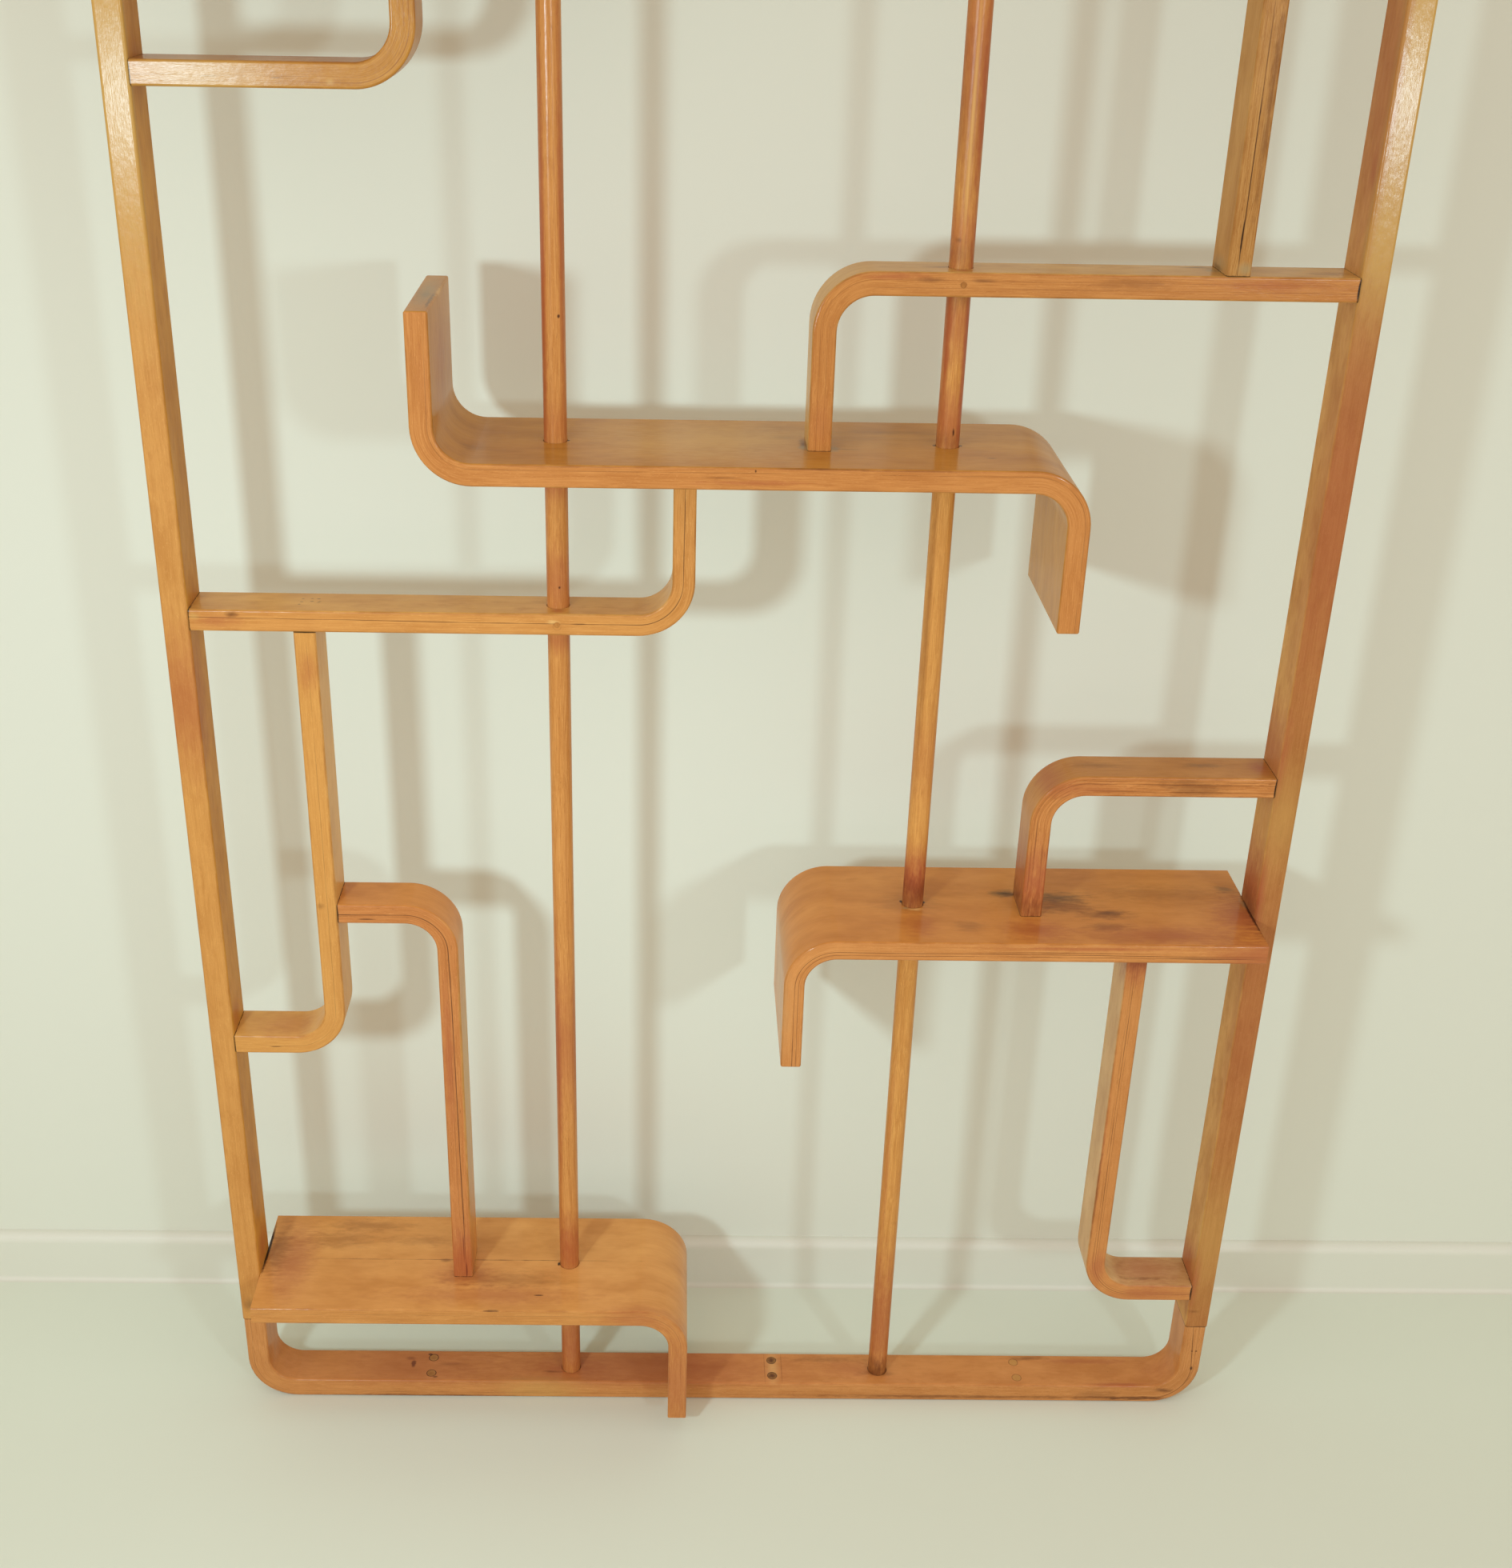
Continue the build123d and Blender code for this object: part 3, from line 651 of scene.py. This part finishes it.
rightRod = {
    "round": True, "face": "#ca8c49", "edge": "#d1964e", "band": 2.0, "fibre": 1.6,
    "cloud": 0.6, "patch": 0.7, "coat": 0.32, "coatRoughness": 0.28,
    "marks": [
        mark("red", (rodPlace, 0, z), (60, 60, long), strength, 0.9)
        for z, long, strength in (
            (1236, 40, 0.5), (1168, 50, 0.5), (1080, 50, 0.6), (635, 56, 1.0), (578, 30, 0.5), (90, 160, 0.7),
            (1380, 130, 0.6), (770, 70, 0.25),
        )
    ] + [
        mark("dirt", (rodPlace, 0, z), (40, 40, long), strength, 1.2)
        for z, long, strength in (
            (622, 34, 0.6), (1222, 20, 0.35), (1188, 16, 0.35), (1066, 16, 0.35), (24, 30, 0.8),
        )
    ] + [
        mark("crack", (171, -9.8, 1074), (1.4, 2, 5), 0.9, 1.2),
        mark("dirt", (163, -9, 1233), (5, 4, 3), 0.5, 1.4),
        mark("brown", (161, -8, 900), (3.5, 12, 220), 0.6, 0.8),
        mark("brown", (rodPlace, 0, 1320), (40, 40, 100), 0.35, 1.0),
        # painted highlight: a pale yellow stripe down the front of the rod's top
        mark("pale", (rodPlace - 1, -10, 1330), (2.4, 4, 150), 0.55, 0.5),
        mark("red", (161, -8, 300), (4, 12, 200), 0.35, 0.8),
        # red streaks down the rod's two sides: partly the wood's own streaks, partly painted shade that darkens
        # the rod towards its sides
        mark("red", (175, -6, 1330), (5, 12, 140), 0.7, 0.8),
        mark("red", (176, -6, 1140), (5, 12, 130), 0.9, 0.8),
        mark("red", (160, -6, 1150), (5, 12, 120), 0.8, 0.8),
    ],
}
centreShelf = {
    "face": "#c48a39", "edge": "#c58345", "coatRoughness": 0.12, "patch": 0.7, "pore": 0.6,
    "lines": [{"depth": 5.0, "width": 0.7, "strength": 0.25, "least": 0.05}],
    "marks": [
        mark("dirt", (-240, -27, centreTop), (24, 14, 5), 0.25, 1.2),
        # painted reflection: a paler, yellower patch in the middle of the shelf's top, where the lacquer
        # mirrors the lit wall
        mark("honey", (0, 10, centreTop), (150, 90, 5), 0.45, 0.9),
        mark("pale", (-50, 10, centreTop), (120, 110, 5), 0.4, 0.9),
        mark("dirt", (29, 20, centreTop), (18, 10, 3), 0.2, 1.4),
        mark("dirt", (120, 40, centreTop), (60, 10, 3), 0.25, 1.4),
        mark("dirt", (44, -4, centreTop), (5, 30, 4), 0.8, 1.6),
        mark("glue", (43, -12, centreTop), (6, 10, 4), 0.9, 1.4),
        mark("glue", (70, -14, centreTop), (7, 12, 4), 0.8, 1.4),
        mark("dirt", (78, -16, centreTop), (22, 3, 3), 0.35, 1.4),
        mark("dirt", (201, -37, centreTop), (7, 3, 3), 0.5, 1.4),
        mark("dirt", (50, shelfFront + 0.6, 1059.2), (52, 2.2, 1.3), 0.7, 1.0),
        mark("dirt", (130, shelfFront, 1058.6), (90, 1.6, 1.2), 0.4, 1.4),
        mark("dirt", (-150, shelfFront, 1058.6), (90, 1.6, 1.0), 0.3, 1.4),
        mark("dirt", (-26, shelfFront, 1051), (26, 3, 1.0), 0.5, 1.2),
        mark("crack", (1, shelfFront, 1057), (1.0, 2, 1.6), 0.8),
        mark("red", (0, shelfFront, 1047), (70, 3, 3), 0.4, 1.6),
        # painted shade: the left flange's inner face is darkened and reddened against the sheen it shows
        mark("red", (-262, 0, 1130), (22, 110, 70), 0.45, 0.8),
        mark("crack", (-266, -30, 1183.2), (2.2, 34, 2), 0.6, 2.0),
        mark("stain", (-272, -8, 1183), (5, 20, 3), 0.5, 1.2),
        mark("glue", (-272, 0, 1183.5), (14, 80, 2.5), 0.75, 0.6),
        mark("pale", (-263.5, 10, 1182), (2.2, 26, 3), 0.6, 2.4),
    ] + [mark("gap", (x, 0, centreTop), (1.8, 2.2, 2), 0.9, 0.8)
         for x in (rodPlace - 11.4, rodPlace + 11.4, -rodPlace + 11.0)],
}
sideShelf = {
    "face": "#cf8a41", "edge": "#cb894b", "coatRoughness": 0.12, "patch": 0.7, "pore": 0.5, "fibre": 0.7,
    "lines": [
        {"depth": -1.0, "slope": 0.003, "width": 0.5, "strength": 0.7, "least": 0.6},
        {"depth": -4.2, "width": 0.5, "strength": 0.5, "least": 0.3},
    ],
    "marks": [
        mark("stain", (258, 21, sideTop), (20, 11, 6), 0.85, 1.3),
        mark("crack", (264, 20, sideTop), (9, 4, 4), 0.6, 1.0),
        mark("stain", (311, 12, sideTop), (36, 16, 6), 0.75, 1.6),
        mark("brown", (316, -4, sideTop), (44, 20, 6), 0.8, 1.5),
        mark("brown", (350, -18, sideTop), (36, 14, 6), 0.8, 1.4),
        mark("dirt", (356, -15, sideTop), (18, 6, 6), 0.55, 1.4),
        mark("brown", (350, -42, sideTop), (34, 12, 6), 0.6, 1.5),
        mark("brown", (217, -42, sideTop), (22, 14, 6), 0.5, 1.3),
        mark("brown", (160, -4, sideTop), (50, 24, 6), 0.35, 1.3),
        mark("brown", (410, 24, sideTop), (90, 24, 6), 0.35, 1.5),
        mark("red", (486, -20, sideTop), (48, 60, 5), 0.75, 1.0),
        mark("dirt", (500, -40, sideTop), (22, 44, 5), 0.5, 1.4),
        mark("red", (400, -56, sideTop), (110, 26, 6), 0.55, 1.0),
        mark("red", (278, -50, sideTop), (44, 30, 5), 0.6, 1.2),
        mark("red", (170, -44, sideTop), (26, 34, 5), 0.45, 1.2),
        mark("crack", (postFace, -14, sideTop), (3.4, 50, 4), 0.9, 0.6),
        mark("glue", (488.5, 6, sideTop), (3, 14, 4), 0.5, 1.0),
        mark("stain", (478, 34, sideTop), (16, 10, 4), 0.5, 1.4),
        mark("crack", (440, shelfFront, 595.8), (58, 3, 0.9), 0.6, 0.5),
        mark("dirt", (300, shelfFront, 600.5), (110, 3, 1.2), 0.5, 1.0),
        mark("red", (330, shelfFront, 605), (130, 3, 3), 0.5, 1.6),
        mark("red", (484, shelfFront, 600), (70, 20, 30), 0.6, 0.9),
        # painted sheen: a pale grey patch on the outer side of the shelf's left flange
        mark("glue", (42, -20, 530), (14, 110, 90), 0.35, 0.6),
        mark("crack", (rodPlace, 0, sideTop), (13, 12, 2), 0.55, 0.8),
        mark("gap", (rodPlace - 11, 3, sideTop), (2, 3, 2), 0.9, 0.8),
        mark("gap", (rodPlace + 11, 2, sideTop), (1.6, 3, 2), 0.9, 0.8),
        mark("pale", (rodPlace + 2, -11.5, sideTop), (9, 3.5, 2), 0.8, 1.6),
        mark("glue", (rodPlace - 8, -9.5, sideTop), (5, 3, 2), 0.7, 1.6),
    ],
}
cornerShelf = {
    "face": "#d89a55", "edge": "#cb8d4b", "coatRoughness": 0.12, "patch": 0.6, "pore": 0.6,
    "lines": [{"depth": 3.0, "width": 0.6, "strength": 0.25, "least": 0.05}],
    "marks": [
        mark("dirt", (-275, 3.4, cornerTop), (225, 1.0, 2), 0.6, 1.8),
        mark("brown", (-385, 58, cornerTop), (64, 13, 6), 0.5, 1.5),
        mark("brown", (-418, 34, cornerTop), (55, 20, 6), 0.45, 1.5),
        mark("brown", (-330, 34, cornerTop), (50, 14, 6), 0.35, 1.8),
        mark("red", (-462, 0, cornerTop), (36, 90, 5), 0.55, 1.0),
        mark("brown", (-480, 20, cornerTop), (18, 60, 6), 0.6, 1.2),
        mark("red", (-275, -22, cornerTop), (50, 26, 5), 0.5, 1.2),
        mark("red", (-250, -52, cornerTop), (150, 20, 5), 0.4, 1.4),
        mark("brown", (-230, -26, cornerTop), (80, 20, 6), 0.4, 1.5),
        mark("crack", (-197, -51, cornerTop), (6.5, 1.3, 2), 0.8, 0.8),
        mark("dirt", (-66, 26, 165), (6, 4, 4), 0.5, 1.6),
        mark("dirt", (-52, 14, 158), (4, 4, 6), 0.5, 1.6),
        mark("crack", (-245, shelfFront + 1, 166), (9, 2.5, 1.2), 0.7, 1.6),
        mark("dirt", (-430, shelfFront, 148.5), (30, 3, 1.5), 0.5, 1.6),
        mark("gap", (-rodPlace - 11.2, -2, cornerTop), (1.8, 3.5, 2), 0.95, 0.6),
        mark("gap", (-490.5, 20, cornerTop), (2.4, 50, 2.5), 0.95, 0.3),
        mark("dirt", (-300, 2, cornerTop), (9, 4, 3), 0.5, 1.4),
        mark("red", (-95, shelfFront, 157), (60, 20, 30), 0.4, 0.9),
        mark("red", (-52, shelfFront, 75), (40, 30, 120), 0.5, 0.9),
    ],
}
leftLongStrip = {
    "face": "#d8a355", "edge": "#cd8f4b", "pore": 0.3,
    "lines": [{"depth": -0.6, "slope": 0.0062, "width": 0.6, "strength": 0.7}],
    "marks": [
        mark("dirt", (-454, front, 906), (8, 3, 4.5), 0.75, 1.0),
        mark("red", (-466, front, 900), (30, 3, 9), 0.45, 1.0),
        mark("filler", (-487, front, 904), (7, 3, 5), 0.5, 1.0),
        mark("pale", (-172, front, 903), (8, 2, 2.6), 0.65, 1.6),
        mark("red", (-rodPlace, -14, 910), (11, 8, 3), 0.6, 0.6),
        mark("crack", (-148, front, 901), (9, 2, 1.0), 0.5, 1.0),
        ring((-rodPlace, front, 898.5), 3.6, 0.3, "brown"),
        joint("x", (-postFace, 0, 900), 0.9),
        mark("gap", (-postFace, -18, 908), (2.2, 8, 5), 0.9, 0.6),
        joint("z", (-56.5, 0, 1040.3), 0.6),
    ] + [mark("crack", (x, y, leftStripTop), (2.0, 0.9, 1), 0.75, 1.2) for x, y in (
        (-396, 8), (-388, 8.5), (-382, 8), (-396, 0), (-387, 1.5), (-380, 1), (-397, -6), (-381, -1),
    )],
}
rightLongStrip = {
    "face": "#cfa158", "edge": "#c38343", "pore": 0.8,
    "lines": [
        {"depth": 3.4, "width": 0.5, "strength": 0.5, "least": 0.05, "tone": "brown"},
        {"depth": -2.6, "width": 0.5, "strength": 0.5, "least": 0.05, "tone": "brown"},
    ],
    "marks": [
        mark("dirt", (140, front, 1204), (20, 4, 3), 0.5, 1.2),
        mark("dirt", (184, front, 1203.5), (14, 4, 2.5), 0.5, 1.2),
        mark("brown", (306, front, 1203), (50, 8, 8), 0.5, 1.2),
        mark("red", (420, front, 1203), (60, 8, 8), 0.4, 1.2),
        mark("red", (110, front, 1206), (50, 3, 4), 0.5, 1.4),
        mark("stain", (366, 14, rightStripTop), (18, 6, 3), 0.6, 2.0),
        mark("glue", (376, 2, rightStripTop), (10, 14, 3), 0.6, 1.4),
        mark("red", (rodPlace, -14, rightStripTop), (12, 9, 3), 0.6, 0.6),
        mark("dirt", (rodPlace - 14, 0, rightStripTop), (22, 5, 3), 0.5, 1.4),
        mark("dirt", (470, -6, rightStripTop), (26, 10, 3), 0.35, 1.4),
        mark("gap", (491.0, front, 1200), (1.3, 3, 12), 0.95, 0.3),
        joint("x", (postFace, 0, 1200), 0.9),
        mark("red", (56, front, 1085), (11, 3, 30), 0.2, 1.0),
        joint("z", (56.5, 0, centreTop), 0.7),
    ],
}
leftHanger = {
    "face": "#d9a358", "edge": "#cd924b", "pore": 0.3, "cloud": 0.6, "patch": 0.6, "band": 0.5, "fibre": 0.7,
    "lines": [{"depth": 1.2, "width": 0.5, "strength": 0.3, "least": 0.05}],
    "marks": [
        mark("gap", (-391, -4, 890.3), (30, 40, 1.5), 1.0, 0.1),
        mark("red", (-391, front, 852), (14, 3, 30), 0.35, 1.0),
        mark("dirt", (-396, front, 613), (6, 3, 5), 0.35, 1.2),
        mark("crack", (-452, front, 453.5), (7, 2, 0.7), 0.7, 0.8),
        joint("x", (-postFace, 0, 455), 0.95),
        mark("red", (-440, 0, 465), (50, 40, 6), 0.4, 1.0),
        mark("red", (-381, 4, 606), (2, 20, 14), 0.6, 0.6),
    ],
}
leftLink = {
    "face": "#d18b43", "edge": "#c37e44", "pore": 1.2,
    "lines": [
        {"depth": 0.1, "slope": 0.0082, "width": 0.7, "strength": 0.85, "least": 0.6},
        {"depth": -2.0, "slope": 0.003, "width": 0.45, "strength": 0.35, "least": 0.05},
    ],
    "marks": [
        mark("crack", (-354, front, 599), (10, 2, 0.7), 0.7, 1.4),
        mark("gap", (-274.3, front, 176), (1.1, 3, 12), 0.95, 0.3),
        mark("crack", (-276.4, front, 205), (0.9, 3, 22), 0.8, 0.6),
        mark("red", (-278, front, 190), (30, 30, 60), 0.65, 0.9),
        # painted sheen: a golden band down the outer side of the link's leg
        mark("honey", (-268, 0, 400), (4, 60, 260), 0.9, 0.5),
        mark("red", (-282, front, 440), (8, 4, 130), 0.5, 0.8),
        joint("x", (-381, 0, 604), 0.95),
        mark("gap", (-380.8, front, 603), (1.2, 3, 12), 0.85, 0.3),
        joint("z", (-278, 0, cornerTop + 0.05), 0.8),
    ],
}
rightArm = {
    "face": "#be823e", "edge": "#c68346", "pore": 1.5, "fibre": 1.6, "band": 1.8,
    "lines": [
        {"depth": 2.9, "width": 0.6, "strength": 0.7, "least": 0.15, "tone": "dirt"},
        {"depth": 6.0, "width": 1.0, "strength": 0.4, "least": 0.05, "tone": "dirt"},
        {"depth": -4.4, "width": 1.2, "strength": 0.45, "least": 0.05, "tone": "dirt"},
    ],
    "marks": [
        mark("dirt", (330, 2, armTop), (40, 8, 3), 0.35, 1.4),
        mark("stain", (430, 4, armTop), (30, 7, 3), 0.4, 1.4),
        mark("red", (482, 0, armTop), (16, 24, 3), 0.6, 0.8),
        mark("dirt", (416, front, 748), (44, 14, 14), 0.45, 1.4),
        mark("red", (278, 0, 640), (60, 90, 70), 0.75, 1.1),
        mark("dirt", (278, 0, 616), (40, 60, 26), 0.6, 1.2),
        mark("red", (290, 0, 745), (90, 90, 14), 0.5, 1.0),
        mark("gap", (491.2, front, 747), (1.2, 3, 12), 0.9, 0.3),
        joint("x", (postFace, 0, 747), 0.9),
        joint("z", (278, 0, sideTop + 0.1), 0.8),
    ],
}
# The brace's face tone is paler and greyer than the other strips', a painted sheen on its sides
rightBrace = {
    "face": "#d3a66c", "edge": "#ca884a", "pore": 0.5, "band": 0.7, "fibre": 0.6,
    "lines": [
        {"depth": 1.3, "width": 0.45, "strength": 0.6, "least": 0.35},
        {"depth": -1.0, "width": 0.4, "strength": 0.35, "least": 0.1},
        {"depth": 3.6, "width": 0.9, "strength": 0.25, "least": 0.05, "tone": "dirt"},
    ],
    "marks": [
        mark("dirt", (400, 0, braceTop), (14, 16, 4), 0.45, 1.2),
        mark("red", (445, 4, braceTop), (70, 50, 6), 0.6, 1.0),
        mark("dirt", (440, -12, braceTop), (40, 3, 3), 0.4, 1.4),
        # painted shadow: a red and dark patch on the front of the brace's leg just under the side shelf, where
        # the shelf's shadow falls
        mark("red", (386, front, 572), (40, 60, 52), 0.95, 0.9),
        mark("dirt", (386, front, 576), (40, 60, 34), 0.6, 0.9),
        mark("red", (388, front, 185), (16, 14, 36), 0.5, 1.0),
        mark("red", (445, front, 152), (60, 10, 12), 0.5, 1.2),
        mark("red", (376, front, 330), (4, 3, 160), 0.4, 1.0),
        mark("dirt", (377, front, 280), (1.6, 3, 100), 0.5, 1.6),
        mark("gap", (491.2, front, 153), (1.3, 3, 12), 0.95, 0.3),
        joint("x", (postFace, 0, 153), 0.9),
    ],
}
upperLeftArm = {
    "face": "#bb833e", "edge": "#be8639", "pore": 0.5, "band": 0.7,
    "lines": [
        {"depth": 5.2, "width": 0.6, "strength": 0.5, "least": 0.05, "tone": "brown"},
        {"depth": 1.0, "width": 0.5, "strength": 0.4, "least": 0.1, "tone": "brown"},
    ],
    "marks": [
        mark("crack", (-430, front, 1350.8), (10, 2, 0.7), 0.6, 0.8),
        mark("crack", (-378, front, 1350.3), (7, 2, 0.6), 0.5, 0.8),
        mark("filler", (-337, front, 1348), (4.5, 2, 4), 0.6, 0.8),
        # painted highlight: a honey patch on the front of the arm's left end
        mark("honey", (-440, front, 1350), (90, 60, 60), 0.7, 0.6),
        joint("x", (-postFace, 0, 1352), 0.8),
    ],
}
upperRightHanger = {
    "face": "#c19050", "edge": "#b78549", "coat": 0.05, "pore": 1.4, "fibre": 1.5,
    "lines": [{"depth": 1.2, "width": 0.6, "strength": 0.6, "least": 0.2}],
    "marks": [
        mark("crack", (390, front, 1290), (0.6, 3, 85), 0.75, 1.2),
        mark("gap", (389.4, front, 1240), (0.9, 3, 20), 0.85, 1.0),
        mark("dirt", (397, front, 1350), (5, 3, 130), 0.5, 1.6),
        mark("glue", (396, front, 1216), (10, 3, 8), 0.7, 0.8),
        mark("glue", (381, 0, 1216), (3, 26, 10), 0.5, 1.0),
        mark("stain", (381, 6, 1212), (3, 20, 4), 0.6, 1.2),
        joint("z", (391, 0, rightStripTop), 0.8),
    ],
}
otherShelf = {
    "face": "#c8873f", "edge": "#be7d41", "coatRoughness": 0.12,
    "lines": [{"depth": 1.6, "width": 0.55, "strength": 0.5, "least": 0.1}],
}
otherStrip = {
    "face": "#c48a48", "edge": "#bd8042",
    "lines": [{"depth": 1.0, "width": 0.55, "strength": 0.55, "least": 0.1}],
}
topRail = {
    "face": "#cb8548", "edge": "#b97c44",
    "lines": [{"depth": 4.5, "width": 0.6, "strength": 0.3}],
    "marks": [ring((x, y, 2077.5), 4.9)
              for x in (plugLeft, -plugMiddle, plugRight) for y in (-plugSide, plugSide)],
}
hiddenDowels = {"face": "#c99a5e", "edge": "#c99a5e"}
rodPins = {"face": "#cd8f4a", "edge": "#cd8f4a", "fleck": 0.3, "cloud": 0.0, "patch": 0.0, "band": 0.0}

pieces = {
    "left_post": leftPost, "right_post": rightPost, "bottom_rail": bottomRail, "top_rail": topRail,
    "bottom_rail_plugs": railPlugs, "top_rail_plugs": railPlugs, "left_rod": leftRod, "right_rod": rightRod,
    "centre_shelf": centreShelf, "lower_right_shelf": sideShelf, "lower_left_shelf": cornerShelf,
    "upper_left_shelf": otherShelf, "upper_right_shelf": otherShelf,
    "left_long_strip": leftLongStrip, "right_long_strip": rightLongStrip,
    "lower_left_hanger": leftHanger, "upper_right_hanger": upperRightHanger,
    "lower_left_link": leftLink, "upper_right_link": otherStrip,
    "lower_right_arm": rightArm, "upper_left_arm": upperLeftArm,
    "lower_right_brace": rightBrace, "upper_left_brace": otherStrip, "rod_pins": rodPins,
}
for number, name in enumerate(sorted(nodes)):
    node = nodes[name]
    node.data.materials.clear()
    node.data.materials.append(beechMaterial(name, pieces.get(name, hiddenDowels), number))
print("materials done")
